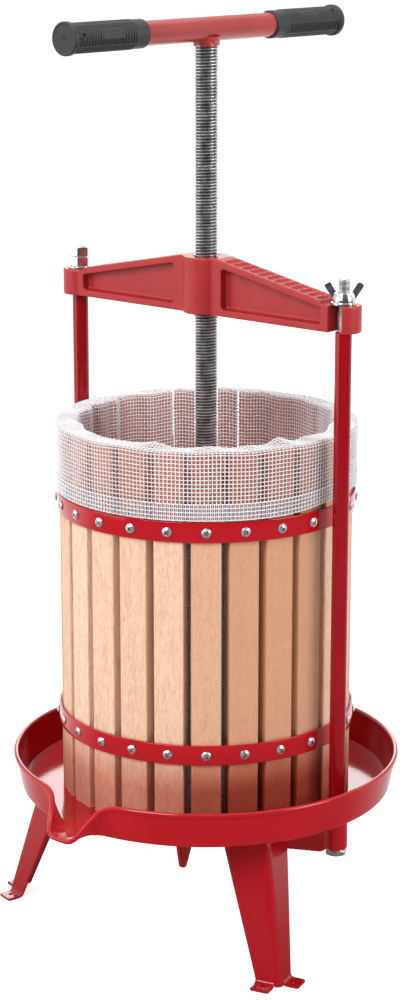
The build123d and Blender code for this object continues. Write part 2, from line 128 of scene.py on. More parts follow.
def make_mesh(name, points, faces, merge=0.0):
    """A mesh from points and faces, its normals outwards, with points nearer than merge joined."""
    mesh = bpy.data.meshes.new(name)
    faces = faces.tolist() if isinstance(faces, np.ndarray) else faces
    mesh.from_pydata(np.asarray(points, float).reshape(-1, 3).tolist(), [], faces)
    with edited(mesh) as work:
        if merge:
            bmesh.ops.remove_doubles(work, verts=work.verts, dist=merge)
            bmesh.ops.dissolve_degenerate(work, edges=work.edges, dist=merge)
        bmesh.ops.recalc_face_normals(work, faces=work.faces)
    return mesh


def grid_faces(rows, columns, wrap_rows=False, wrap_columns=False, start=0):
    """Quads of a grid of points numbered row by row."""
    row = np.arange(rows if wrap_rows else rows - 1)
    column = np.arange(columns if wrap_columns else columns - 1)
    row, column = np.meshgrid(row, column, indexing="ij")
    next_row = (row + 1) % rows
    next_column = (column + 1) % columns
    corners = [row * columns + column, row * columns + next_column,
               next_row * columns + next_column, next_row * columns + column]
    return start + np.stack(corners, -1).reshape(-1, 4)


def capped_tube(name, rings):
    """Rings of points joined into a tube, with a flat face at each end."""
    count, around = rings.shape[:2]
    faces = grid_faces(count, around, False, True).tolist()
    faces.append(list(range(around)))
    faces.append(list(range((count - 1) * around, count * around)))
    return make_mesh(name, rings, faces)


def bend(start, knee, end, share):
    """A point on the curve from start to end that is drawn towards knee."""
    return start * (1 - share) ** 2 + 2 * knee * share * (1 - share) + end * share ** 2


def rounded(points, radius, steps=4):
    """A closed outline with every corner rounded, each in steps + 1 points."""
    outline = []
    for place, corner in enumerate(points):
        corner = np.array(corner, float)
        before = np.array(points[place - 1], float) - corner
        after = np.array(points[(place + 1) % len(points)], float) - corner
        long_before, long_after = np.linalg.norm(before), np.linalg.norm(after)
        cut = min(radius, long_before / 2, long_after / 2)
        start, end = corner + before / long_before * cut, corner + after / long_after * cut
        outline.extend(bend(start, corner, end, share) for share in np.linspace(0, 1, steps + 1))
    return np.array(outline)


def lathe(name, outline, segments=96, centre=(0.0, 0.0)):
    """A closed (radius, height) outline turned about a vertical axis."""
    outline = np.asarray(outline, float)
    angle = np.linspace(0, full_turn, segments, endpoint=False)
    points = np.empty((len(outline), segments, 3))
    points[..., 0] = centre[0] + outline[:, :1] * np.cos(angle)
    points[..., 1] = centre[1] + outline[:, :1] * np.sin(angle)
    points[..., 2] = outline[:, 1:]
    return make_mesh(name, points, grid_faces(len(outline), segments, True, True), merge=same_place)


def ring_outline(inner, outer, low, high, radius):
    """A flat ring's section with rounded edges."""
    return rounded([(inner, low), (outer, low), (outer, high), (inner, high)], radius)


def smooth_step(value, low, high):
    """Rises from 0 at low to 1 at high with soft ends."""
    share = np.clip((value - low) / (high - low), 0, 1)
    return share * share * (3 - 2 * share)


def band(value, low, high, soft):
    """1 between low and high, 0 outside, with soft edges."""
    return smooth_step(value, low - soft, low + soft) * (1 - smooth_step(value, high - soft, high + soft))


def applied(piece):
    """The mesh that a working object has after its modifiers; the object goes."""
    bpy.context.view_layer.update()
    result = bpy.data.meshes.new_from_object(piece.evaluated_get(bpy.context.evaluated_depsgraph_get()))
    bpy.data.objects.remove(piece)
    return result


def softened(node, voxel, smooth):
    """A copy of a CAD node's mesh with its edges rounded as a casting's are."""
    mesh = frame["nodes"][node].data.copy()
    with edited(mesh) as work:
        bmesh.ops.remove_doubles(work, verts=work.verts, dist=same_place)
    copy = placed(node + "_work", mesh)
    remesh = copy.modifiers.new("remesh", "REMESH")
    remesh.mode = "VOXEL"
    remesh.voxel_size = voxel
    relax = copy.modifiers.new("relax", "SMOOTH")
    relax.iterations = smooth
    relax.factor = 0.5
    return applied(copy)


# Corners of a thread's section: share of the pitch, share of the depth
ridge = [(0.0, 0.0), (0.18, 0.0), (0.50, 1.0), (0.68, 1.0)]


def thread(name, centre_x, low, high, major_r, depth, pitch, segments):
    """A threaded rod on a vertical axis: one helical ridge with chamfered, closed ends."""
    minor_r = major_r - depth
    turns = math.ceil((high - low) / pitch) + 2
    step = np.arange(turns * segments + 1)
    angle = step * full_turn / segments
    columns = len(ridge)
    points = np.empty((len(step), columns, 3))
    for column, (rise, share) in enumerate(ridge):
        z = low - pitch + pitch * (step / segments + rise)
        radius = np.full(len(step), minor_r + share * depth)
        radius = np.minimum(radius, minor_r + np.clip(np.minimum(z - low, high - z), 0, None))
        points[:, column, 0] = centre_x + radius * np.cos(angle)
        points[:, column, 1] = radius * np.sin(angle)
        points[:, column, 2] = np.clip(z, low, high)
    seam = np.arange(len(step) - segments - 1)
    last, first = seam * columns + columns - 1, (seam + segments) * columns
    joined = np.stack([last, first, first + columns, last + columns], -1)
    faces = np.concatenate([grid_faces(len(step), columns), joined])
    mesh = make_mesh(name, points, faces, merge=same_place)
    with edited(mesh) as work:
        bmesh.ops.holes_fill(work, edges=[edge for edge in work.edges if edge.is_boundary])
        bmesh.ops.recalc_face_normals(work, faces=work.faces)
    return mesh


# Shader nodes

# A noise texture's value mostly lies between these
noise_low, noise_high = 0.3, 0.7


def blank(name, roughness, metallic=0.0, **sockets):
    """A material with one Principled shader; sockets sets its even values by name."""
    material = bpy.data.materials.new(name)
    material.use_nodes = True
    shader = material.node_tree.nodes["Principled BSDF"]
    shader.inputs["Roughness"].default_value = roughness
    shader.inputs["Metallic"].default_value = metallic
    for socket, value in sockets.items():
        shader.inputs[socket.replace("_", " ")].default_value = value
    return material, material.node_tree, shader


def feed(tree, shader, **sockets):
    """Links node outputs to a shader's inputs by name."""
    for socket, value in sockets.items():
        tree.links.new(value, shader.inputs[socket.replace("_", " ")])


def add_node(tree, kind, inputs=None, **settings):
    """A shader node; inputs maps a socket's name or number to a value or to another node's output."""
    node = tree.nodes.new("ShaderNode" + kind)
    for setting, value in settings.items():
        setattr(node, setting, value)
    for socket, value in (inputs or {}).items():
        if isinstance(value, bpy.types.NodeSocket):
            tree.links.new(value, node.inputs[socket])
        else:
            node.inputs[socket].default_value = value
    return node


def math_node(tree, operation, *values):
    """The result of a Math node on numbers or sockets."""
    return add_node(tree, "Math", dict(enumerate(values)), operation=operation).outputs[0]


def plus(tree, first, *others):
    """The sum of numbers or sockets."""
    total = first
    for value in others:
        total = math_node(tree, "ADD", total, value)
    return total


def minus(tree, one, two):
    """The difference of two numbers or sockets."""
    return math_node(tree, "SUBTRACT", one, two)


def times(tree, one, two):
    """The product of two numbers or sockets."""
    return math_node(tree, "MULTIPLY", one, two)


def vector_node(tree, operation, one, two):
    """The vector that a Vector Math node makes of two others."""
    return add_node(tree, "VectorMath", {0: one, 1: two}, operation=operation).outputs[0]


def from_axis(tree, x, y):
    """How far a point lies from the vertical axis."""
    return math_node(tree, "SQRT", plus(tree, times(tree, x, x), times(tree, y, y)))


def place_of(tree, scale=(1.0, 1.0, 1.0)):
    """The point on the surface in the object's own metres, scaled on each axis."""
    coordinates = add_node(tree, "TexCoord").outputs["Object"]
    return add_node(tree, "Mapping", {"Vector": coordinates, "Scale": scale}).outputs[0]


def noise(tree, vector, scale, detail=3.0, roughness=0.5):
    """A noise texture's value."""
    sizes = {"Vector": vector, "Scale": scale, "Detail": detail, "Roughness": roughness}
    return add_node(tree, "TexNoise", sizes).outputs[0]


def ramp(tree, value, *stops):
    """A colour ramp over a value; each stop is a place and a colour."""
    node = add_node(tree, "ValToRGB", {0: value})
    bands = node.color_ramp.elements
    while len(bands) < len(stops):
        bands.new(0.5)
    for stop, (place, colour) in zip(bands, stops):
        stop.position = place
        stop.color = (*colour, 1.0)
    return node.outputs[0]


def two_tone(tree, value, dark, light):
    """A noise value turned into a colour between dark and light."""
    return ramp(tree, value, (noise_low, dark), (noise_high, light))


def mixed(tree, share, one, two):
    """Colour one turning into colour two."""
    return add_node(tree, "Mix", {0: share, 6: one, 7: two}, data_type="RGBA").outputs[2]


def grey_ramp(tree, value, low, high, dark=0.0, light=1.0):
    """A value stretched so that low becomes dark and high becomes light."""
    sizes = {"Value": value, "From Min": low, "From Max": high, "To Min": dark, "To Max": light}
    return add_node(tree, "MapRange", sizes).outputs[0]


def varied(tree, value, low, high):
    """A noise value turned into a number between low and high."""
    return grey_ramp(tree, value, noise_low, noise_high, low, high)


def bump(tree, shader, height, distance, strength):
    """Raises the surface by a height texture, distance in metres."""
    node = add_node(tree, "Bump", {"Height": height, "Distance": distance, "Strength": strength})
    feed(tree, shader, Normal=node.outputs[0])


# Materials


def paint_gloss(name, dark, light):
    """Glossy red paint with a faint orange peel."""
    material, tree, shader = blank(name, 0.10, Specular_IOR_Level=0.42)
    place = place_of(tree)
    feed(tree, shader, Base_Color=two_tone(tree, noise(tree, place, scale=9.0, detail=2.0), dark, light))
    bump(tree, shader, noise(tree, place, scale=230.0, detail=1.0), distance=0.0004, strength=0.12)
    return material


def paint_satin():
    """Satin red paint, a little uneven in tone and roughness."""
    material, tree, shader = blank("satin_red", 0.30, Specular_IOR_Level=0.7)
    place = place_of(tree)
    shade = noise(tree, place, scale=30.0)
    feed(tree, shader, Base_Color=two_tone(tree, shade, dark=(0.29, 0.012, 0.013), light=(0.38, 0.020, 0.020)),
         Roughness=varied(tree, shade, 0.28, 0.38))
    bump(tree, shader, noise(tree, place, scale=500.0, detail=2.0), distance=0.0004, strength=0.2)
    return material


def paint_cast():
    """Satin red powder coat over a casting: fine grain and a slow unevenness."""
    material, tree, shader = blank("cast_red", 0.42)
    place = place_of(tree)
    grain = noise(tree, place, scale=1400.0, detail=2.0, roughness=0.6)
    slow = noise(tree, place, scale=45.0, detail=2.0)
    shade = plus(tree, times(tree, grain, 0.6), times(tree, slow, 0.4))
    feed(tree, shader, Base_Color=two_tone(tree, shade, dark=(0.32, 0.011, 0.014), light=(0.44, 0.018, 0.021)),
         Roughness=varied(tree, grain, 0.34, 0.5))
    bump(tree, shader, plus(tree, times(tree, grain, 0.25), slow), distance=0.0006, strength=0.35)
    return material


def bright_zinc():
    """Bright plated steel with faint clouding and hairlines."""
    material, tree, shader = blank("zinc", 0.16, metallic=1.0)
    place = place_of(tree)
    cloud = noise(tree, place, scale=300.0)
    feed(tree, shader, Base_Color=two_tone(tree, cloud, dark=(0.62, 0.62, 0.65), light=(0.82, 0.82, 0.85)),
         Roughness=varied(tree, cloud, 0.1, 0.24))
    bump(tree, shader, noise(tree, place, scale=900.0, detail=2.0), distance=0.0001, strength=0.2)
    return material


def screw_head():
    """Pale, slightly dull plating of the wood screws, with painted shade in the cross recess."""
    material, tree, shader = blank("screw_head", 0.24, metallic=0.8)
    cloud = noise(tree, place_of(tree), scale=400.0)
    plating = two_tone(tree, cloud, dark=(0.62, 0.61, 0.62), light=(0.82, 0.81, 0.82))
    # Painted shade: ambient occlusion darkens the colour inside the cross recess.
    hollow = add_node(tree, "AmbientOcclusion", {"Distance": 0.0015}).outputs["AO"]
    open_sky = grey_ramp(tree, hollow, 0.45, 0.85)
    feed(tree, shader, Base_Color=mixed(tree, open_sky, (0.02, 0.016, 0.015, 1.0), plating),
         Roughness=varied(tree, cloud, 0.18, 0.3))
    return material


def screw_steel():
    """Dark rolled steel with oily streaks round the thread; painted highlight on its crests and painted shade
    in its grooves.
    """
    material, tree, shader = blank("screw_steel", 0.34, metallic=0.9)
    streak = noise(tree, place_of(tree, (60.0, 60.0, 700.0)), scale=1.0)
    cloud = noise(tree, place_of(tree), scale=120.0)
    x, y = add_node(tree, "SeparateXYZ", {0: place_of(tree)}).outputs[:2]
    # Painted highlight and shade: the colour is lighter on the thread's crests and darker in its grooves.
    crest = grey_ramp(tree, from_axis(tree, x, y), screw_r - screw_depth, screw_r, dark=0.3)
    shade = times(tree, plus(tree, times(tree, streak, 0.5), times(tree, cloud, 0.5)), crest)
    feed(tree, shader, Base_Color=ramp(tree, shade, (0.12, (0.10, 0.095, 0.10)), (0.55, (0.80, 0.78, 0.80))),
         Roughness=varied(tree, cloud, 0.26, 0.44))
    bump(tree, shader, streak, distance=0.0001, strength=0.3)
    return material


def black_rubber():
    """Matt black rubber with a dusty bloom and a fine moulded grain."""
    material, tree, shader = blank("black_rubber", 0.55)
    place = place_of(tree)
    bloom = noise(tree, place, scale=70.0, detail=4.0, roughness=0.6)
    colour = ramp(tree, bloom, (noise_low, (0.013, 0.013, 0.016)), (0.75, (0.027, 0.027, 0.032)))
    feed(tree, shader, Base_Color=colour, Roughness=varied(tree, bloom, 0.46, 0.62))
    bump(tree, shader, noise(tree, place, scale=1800.0, detail=2.0), distance=0.0002, strength=0.25)
    return material


def white_net():
    """White woven polyester: matt strands with twisted fibres."""
    material, tree, shader = blank("white_net", 0.55, Sheen_Weight=0.15)
    fibre = noise(tree, place_of(tree), scale=1500.0, detail=2.0)
    feed(tree, shader, Base_Color=two_tone(tree, fibre, dark=(0.68, 0.68, 0.71), light=(0.84, 0.84, 0.87)))
    bump(tree, shader, fibre, distance=0.0002, strength=0.4)
    return material


# Wood with painted shade: darker on the staves round one side of the basket, at their feet in the tray and
# under the net's cuff, with a reddish tint
# Plan angle round which painted shade darkens the staves and their feet
shade_side_angle = math.radians(-30.0)
# Heights where painted shade at the staves' feet begins and is full, and how wavy its edge is
foot_shade_top, foot_shade_full, shade_edge_wave = 0.226, 0.187, 0.012
# Heights over which painted shade darkens the wood under the net's cuff
shade_under_cuff_low, shade_under_cuff_high = 0.450, 0.465
# Reddish colour in which the painted shade on the wood is drawn
painted_shade_colour = (0.50, 0.150, 0.130, 1.0)
grain_colour = (0.48, 0.26, 0.15, 1.0)
ring_count, ring_sharpness = 9.0, 4.0
stave_apart = (7.0, 7.0, 7.0)


def beech():
    """Planed beech: each stave has its own tone, growth figure and flecks; painted shade darkens one side of
    the basket, the band under the net's cuff and, with a red tint, the staves' feet.
    """
    material, tree, shader = blank("beech", 0.5, Specular_IOR_Level=0.3)
    coordinates = add_node(tree, "TexCoord").outputs["Object"]
    x, y, z = add_node(tree, "SeparateXYZ", {0: coordinates}).outputs
    angle = minus(tree, math_node(tree, "ARCTAN2", y, x), basket_turn)
    number = math_node(tree, "ROUND", math_node(tree, "DIVIDE", angle, stave_step))
    stave_angle = times(tree, number, stave_step)
    radius = from_axis(tree, x, y)
    across = times(tree, radius, math_node(tree, "SINE", minus(tree, angle, stave_angle)))
    own = add_node(tree, "TexWhiteNoise", {"W": number}, noise_dimensions="1D")
    shift = vector_node(tree, "MULTIPLY", own.outputs["Color"], stave_apart)
    in_stave = add_node(tree, "CombineXYZ", {0: across, 1: radius, 2: z}).outputs[0]
    in_tree = vector_node(tree, "ADD", in_stave, shift)

    def stretched(scale, detail, roughness):
        """Noise in the wood at a scale on each axis: across the stave, through it and along it."""
        place = add_node(tree, "Mapping", {"Vector": in_tree, "Scale": scale}).outputs[0]
        return noise(tree, place, 1.0, detail, roughness)

    figure = stretched((42.0, 42.0, 3.2), detail=3.0, roughness=0.45)
    rings = math_node(tree, "FRACT", times(tree, figure, ring_count))
    ring_line = times(tree, math_node(tree, "POWER", rings, ring_sharpness), 0.5)
    fibre = stretched((1500.0, 1500.0, 60.0), detail=3.0, roughness=0.6)
    relief = stretched((380.0, 380.0, 95.0), detail=2.0, roughness=0.5)
    fleck = grey_ramp(tree, stretched((900.0, 900.0, 170.0), detail=1.0, roughness=0.4), 0.57, 0.66)
    # Painted shade: staves round one plan angle get a darker, redder tone, the others a lighter one.
    off_shade_side = math_node(tree, "ABSOLUTE", minus(tree, stave_angle, shade_side_angle))
    side_shade = grey_ramp(tree, off_shade_side, 0.36, 0.56, dark=0.42, light=-0.2)
    tone = minus(tree, times(tree, own.outputs["Value"], 0.75), side_shade)
    base = ramp(tree, tone, (0.0, (0.62, 0.31, 0.18)), (0.4, (0.80, 0.50, 0.345)), (1.0, (0.92, 0.655, 0.50)))
    hollow = grey_ramp(tree, relief, 0.35, 0.65, dark=0.16, light=0.0)
    darker = plus(tree, times(tree, fleck, 0.24), times(tree, ring_line, 0.40),
                  times(tree, fibre, 0.10), hollow)
    grained = mixed(tree, darker, base, grain_colour)
    uneven_z = plus(tree, z, times(tree, figure, shade_edge_wave))
    # Painted shade with a red bounce tint at the staves' feet in the tray, strongest on the shaded side.
    foot_shade_by_side = grey_ramp(tree, off_shade_side, 0.3, 0.8, dark=1.0, light=0.36)
    foot = times(tree, grey_ramp(tree, uneven_z, foot_shade_top, foot_shade_full), foot_shade_by_side)
    # Painted shade on the wood under the net's cuff.
    cuff_painted_shade = grey_ramp(tree, uneven_z, shade_under_cuff_low, shade_under_cuff_high, light=0.3)
    depth = math_node(tree, "MAXIMUM", foot, cuff_painted_shade)
    shade_tint = add_node(tree, "Gamma", {0: painted_shade_colour, 1: depth}).outputs[0]
    feed(tree, shader, Base_Color=vector_node(tree, "MULTIPLY", grained, shade_tint),
         Roughness=varied(tree, fibre, 0.42, 0.6))
    height = plus(tree, times(tree, relief, 3.0), minus(tree, fibre, fleck))
    bump(tree, shader, height, distance=0.0004, strength=0.7)
    return material


red_gloss = paint_gloss("gloss_red", dark=(0.39, 0.0045, 0.010), light=(0.44, 0.0060, 0.0125))
# Painted shade: the legs and the posts wear darker copies of the same gloss red paint, the posts the darkest.
red_leg_shaded = paint_gloss("leg_red_painted_shade", dark=(0.31, 0.0045, 0.0095), light=(0.35, 0.0055, 0.0115))
red_post_shaded = paint_gloss("post_red_painted_shade", dark=(0.25, 0.0028, 0.0070), light=(0.29, 0.0036, 0.0085))
red_satin = paint_satin()
red_cast = paint_cast()
zinc = bright_zinc()
head_metal = screw_head()
steel = screw_steel()
rubber = black_rubber()
net_white = white_net()
wood = beech()

slot_material = {"gloss_red": red_gloss, "cast_red": red_cast, "zinc": zinc, "screw_steel": steel,
                 "black_rubber": rubber, "white_net": net_white, "beech": wood}
own_material = {"handle_bar": red_satin, "upper_hoop_screws": head_metal, "lower_hoop_screws": head_metal}
slot_of = {part["node"]: part["material_slot"] for part in frame["record"]["subparts"]}
for node, slot in slot_of.items():
    node_mesh = frame["nodes"][node].data
    node_mesh.materials.clear()
    node_mesh.materials.append(own_material.get(node, slot_material[slot]))

# Tray with a rolled rim and an S-shaped spout
sheet = tray_floor - tray_under
bead_r = 0.0026
bead_ring_r = tray_high.x - bead_r
tray_flare, tray_corner = 0.007, 0.004
spout_half, spout_end = math.radians(6.7), math.radians(20.0)
spout_power = 5
lip_rise = -0.0012
tray_rings = np.array([0.02, 0.09, 0.15])
wall_rows, corner_steps, bead_steps = 22, 6, 18
spout_columns, rim_columns = 140, 200


def spread_angles(half_width, fine, coarse):
    """Plan angles from the spout's middle, close together there and wider elsewhere."""
    near = np.linspace(-half_width, half_width, fine, endpoint=False)
    far = np.linspace(half_width, full_turn - half_width, coarse, endpoint=False)
    return np.concatenate([near, far])


def tray_sections(angles):
    """Radius and height of the tray's middle surface, from near the axis to the rim, at each angle."""
    middle = tray_under + sheet / 2
    foot_r = bead_ring_r - tray_flare
    floor_edge = foot_r - tray_corner
    top = rim_z - bead_r
    outline = rounded([(floor_edge, middle), (foot_r, middle), (bead_ring_r, top)], tray_corner, corner_steps)
    corner = outline[corner_steps + 1:2 * (corner_steps + 1)]
    wall = np.linspace(corner[-1], (bead_ring_r, top), wall_rows - len(corner) + 1)[1:]
    plain = np.concatenate([corner, wall])
    share = np.linspace(0, 1, wall_rows)
    lip_r = -tray_low.y - bead_r
    spout = np.stack([floor_edge + (lip_r - floor_edge) * share, middle + lip_rise * share ** 3], -1)
    turn = abs(np.where(angles > math.pi, angles - full_turn, angles))
    weight = 1 / (1 + (turn / spout_half) ** spout_power)
    weight = (weight * (1 - smooth_step(turn, 0.5 * spout_end, spout_end)))[None, :, None]
    section = plain[:, None] * (1 - weight) + spout[:, None] * weight
    floor_part = np.empty((len(tray_rings), len(angles), 2))
    floor_part[..., 0] = tray_rings[:, None]
    floor_part[..., 1] = middle
    return np.concatenate([floor_part, section])


def unit(vectors):
    """Vectors scaled to length one."""
    return vectors / np.linalg.norm(vectors, axis=-1, keepdims=True)


def tray_mesh():
    """The tray as one closed sheet: inside, rim bead, underside."""
    angles = spread_angles(spout_end, spout_columns, rim_columns)
    radius, height = np.moveaxis(tray_sections(angles), -1, 0)
    points = np.stack([radius * np.sin(angles), -radius * np.cos(angles), height], -1)
    along = np.gradient(points, axis=0)
    around = (np.roll(points, -1, axis=1) - np.roll(points, 1, axis=1)) / 2
    inwards = unit(np.cross(around, along))
    inside = points + inwards * sheet / 2
    under = points - inwards * sheet / 2
    up_wall = unit(along[-1])
    start = math.asin(sheet / 2 / bead_r)
    bead_angle = np.linspace(start, full_turn - start, bead_steps)[:, None, None]
    bead = points[-1] + bead_r * (inwards[-1] * np.sin(bead_angle) - up_wall * np.cos(bead_angle))
    return capped_tube("tray_pan", np.concatenate([inside[:-1], bead, under[-2::-1]]))


link("tray_pan", tray_mesh(), "frame", red_gloss, ["tray"])

# Hoops
hoop_thick, hoop_edge = 0.0024, 0.0009
for node in ("upper_hoop", "lower_hoop"):
    low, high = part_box(node)
    outline = ring_outline(high.x - hoop_thick, high.x, low.z, high.z, hoop_edge)
    link(node + "_band", lathe(node + "_band", outline, segments=192), "basket", red_gloss, [node])

# Posts and their threaded ends
post_edge, stud_sink = 0.0008, 0.001
post_outline = ring_outline(0.0, post_r, seal_top, head_under, post_edge)
post_sides = (("left", -post_x), ("right", post_x))
for side, x in post_sides:
    node = side + "_post"
    low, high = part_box(node)
    post_bar = lathe(node + "_bar", post_outline, segments=64, centre=(x, 0.0))
    link(node + "_bar", post_bar, "frame", red_post_shaded, [node])
    for end, start, stop in (("top", head_under - stud_sink, high.z), ("foot", low.z, seal_top + stud_sink)):
        name = f"{side}_{end}_stud"
        stud = thread(name, x, start, stop, stud_r, stud_depth, stud_pitch, segments=32)
        link(name, stud, "frame", steel, [node])

# Press screw
screw = thread("screw_thread", 0.0, screw_low.z, screw_high.z, screw_r, screw_depth, screw_pitch, segments=48)
link("screw_thread", screw, "screw", steel, ["press_screw"])

# Cast and turned pieces with softened edges: node, body, voxel and rounds of smoothing
for node, body, voxel, smooth in (("crosshead", "crosshead", 0.0010, 4), ("wing_nut", "wing", 0.00035, 4),
                                  ("base_beam", "frame", 0.0013, 2), ("base_gusset", "frame", 0.0008, 2),
                                  ("press_plate", "plate", 0.0012, 2), ("swivel_hub", "plate", 0.0009, 2),
                                  ("pivot_nut", "frame", 0.0004, 2), ("pivot_lock_nut", "frame", 0.0004, 2),
                                  ("base_nuts", "frame", 0.0005, 2)):
    slot = slot_of[node]
    mesh = softened(node, voxel, smooth)
    link(node + "_finish", mesh, body, slot_material[slot], [node], smooth_angle=60.0)

# Flat rings on the posts
ring_gap, ring_edge = 0.0001, 0.0005
for node, body in (("base_washers", "frame"), ("pivot_washer", "frame"), ("clamp_washer", "washer"),
                   ("post_seals", "frame")):
    slot = slot_of[node]
    low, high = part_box(node)
    outline = ring_outline(stud_r + ring_gap, (high.y - low.y) / 2, low.z, high.z, ring_edge)
    for side, x in post_sides:
        if low.x < x < high.x:
            name = f"{node}_{side}_ring"
            ring = lathe(name, outline, segments=64, centre=(x, 0.0))
            link(name, ring, body, slot_material[slot], [node])

# Weld between the screw and the handle bar
weld_rows, weld_columns = 16, 72
weld_top = handle_z - 0.0067
weld_thick, weld_flare, weld_curve = 0.0004, 0.0011, 1.6
weld_sink, weld_foot, lump_rise = 0.0005, 0.0009, 1.3

# Unevenness of the weld's side and foot: size in metres, counts round it and up it, phase
weld_lumps = [(0.0003, 9, 5, 0.0), (0.00025, 14, -11, 1.0)]
weld_scallops = [(0.0005, 3, 0, 0.6), (0.0004, 7, 0, 0.0)]


def weld_mesh():
    """A lumpy fillet with an uneven foot that widens from the screw up to the bar."""
    rise = np.linspace(0, 1, weld_rows)[:, None]
    angle = np.linspace(0, full_turn, weld_columns, endpoint=False)[None]

    def uneven(ripples, z):
        return sum(size * np.sin(around * angle + upwards * z + phase)
                   for size, around, upwards, phase in ripples)

    lumps = uneven(weld_lumps, rise) * np.sin(math.pi * np.clip(rise * lump_rise, 0, 1))
    outside = screw_r + weld_thick + weld_flare * rise ** weld_curve + lumps
    inside = np.full_like(outside, screw_r - weld_sink)
    radius = np.concatenate([outside, inside])
    foot = weld_under + weld_foot + uneven(weld_scallops, 0.0)
    height = foot + np.concatenate([rise, rise[::-1]]) * (weld_top - foot)
    points = np.stack([radius * np.cos(angle), radius * np.sin(angle), height], -1)
    return make_mesh("weld", points, grid_faces(len(points), weld_columns, True, True))


link("handle_weld", weld_mesh(), "screw", red_satin, ["weld_collar"])

# Legs of folded sheet with bent foot tabs
leg_bend = 0.0055
leg_top_width, leg_foot_width = 0.0485, 0.0245
leg_splay, leg_inset, floor_past_post = 0.0403, 0.0133, 0.0175
leg_top_r = post_x + floor_past_post - leg_inset
leg_foot_r = leg_top_r + leg_splay
foot_tab, foot_bend, tab_round = 0.01675, 0.006, 0.0025
foot_hole_r, foot_hole_out, drill_length = 0.00275, 0.009, 0.02
leg_edge, leg_edge_angle, fold_end = 0.0005, math.radians(50), 0.0004
leg_merge = 2e-5
flange_rows, flange_columns = 12, 9
tab_bend_rows, tab_flat_rows = 7, 12
fold_foot_rows, fold_columns = 4, 11


def thickened(name, mesh, drill):
    """A middle surface given the sheet's thickness and soft edges, with the drill cut out of it."""
    work = placed(name + "_work", mesh)
    thicken = work.modifiers.new("thicken", "SOLIDIFY")
    thicken.thickness = sheet
    thicken.offset = 0.0
    soften = work.modifiers.new("soften", "BEVEL")
    soften.width = leg_edge
    soften.segments = 2
    soften.limit_method = "ANGLE"
    soften.angle_limit = leg_edge_angle
    holes = work.modifiers.new("holes", "BOOLEAN")
    holes.operation = "DIFFERENCE"
    holes.object = drill
    return applied(work)


def leg_mesh(name, angle):
    """A folded angle of sheet, corner outwards, whose two flanges turn out into feet with a hole each."""
    half = sheet / 2
    slant = math.cos(math.pi / 4)
    radial = np.array([math.cos(angle), math.sin(angle), 0.0])
    tangent = np.array([-math.sin(angle), math.cos(angle), 0.0])
    points, faces = [], []

    def add_grid(rows):
        grid = np.array(rows)
        faces.extend(grid_faces(*grid.shape[:2], start=len(points)).tolist())
        points.extend(grid.reshape(-1, 3))

    def flange(side, along, z, out=0.0):
        """A point on a flange's middle, at a distance from the folded corner, at a height and outwards."""
        corner = leg_foot_r + (leg_top_r - leg_foot_r) * (z / tray_under) - half / slant
        return radial * (corner - along * slant + out * slant) + tangent * side * slant * (along + out) + up * z

    def width(z):
        """How wide a flange is at a height, with the fold."""
        return leg_foot_width + (leg_top_width - leg_foot_width) * z / tray_under

    shares = np.linspace(0, 1, flange_columns)
    levels = np.linspace(tray_under, foot_bend, flange_rows)
    foot_width = width(foot_bend) - leg_bend
    for side in (1, -1):
        add_grid([[flange(side, leg_bend + share * (width(z) - leg_bend), z) for share in shares]
                  for z in levels])
        start, knee, end = np.array([0.0, foot_bend]), np.array([0.0, half]), np.array([foot_bend, half])
        tab_rows = [(*bend(start, knee, end, share), 0.0) for share in np.linspace(0, 1, tab_bend_rows)]
        for out in np.linspace(foot_bend, foot_tab, tab_flat_rows)[1:]:
            short = max(0.0, tab_round - (foot_tab - out))
            tab_rows.append((out, half, tab_round - math.sqrt(tab_round ** 2 - short ** 2)))
        add_grid([[flange(side, leg_bend + inset + share * (foot_width - 2 * inset), z, out)
                   for share in shares] for out, z, inset in tab_rows])
    fold_rows = []
    for z in np.concatenate([levels, np.linspace(foot_bend, fold_end, fold_foot_rows)[1:]]):
        edge_one, edge_two = flange(1, leg_bend, z), flange(-1, leg_bend, z)
        fold_r = np.linalg.norm(edge_one - edge_two) / 2 / slant
        heart = (edge_one + edge_two) / 2 - radial * fold_r * slant
        fold_rows.append([heart + fold_r * (radial * math.cos(turn) + tangent * math.sin(turn))
                          for turn in np.linspace(-math.pi / 4, math.pi / 4, fold_columns)])
    add_grid(fold_rows)
    drill_mesh = bpy.data.meshes.new("drill")
    with edited(drill_mesh) as work:
        for side in (1, -1):
            heart = flange(side, leg_bend + (leg_foot_width - leg_bend) / 2, half, foot_hole_out - half)
            made = bmesh.ops.create_cone(work, segments=28, radius1=foot_hole_r, radius2=foot_hole_r,
                                         depth=drill_length, cap_ends=True)
            bmesh.ops.translate(work, verts=made["verts"], vec=Vector(heart))
    drill = placed("drill", drill_mesh)
    result = thickened(name, make_mesh(name, points, faces, merge=leg_merge), drill)
    bpy.data.objects.remove(drill)
    return result


for node, degrees in (("leg_right", -30.0), ("leg_left", -150.0), ("leg_rear", 90.0)):
    mesh = leg_mesh(node, math.radians(degrees))
    link(node + "_fold", mesh, "frame", red_leg_shaded, [node], smooth_angle=40.0)

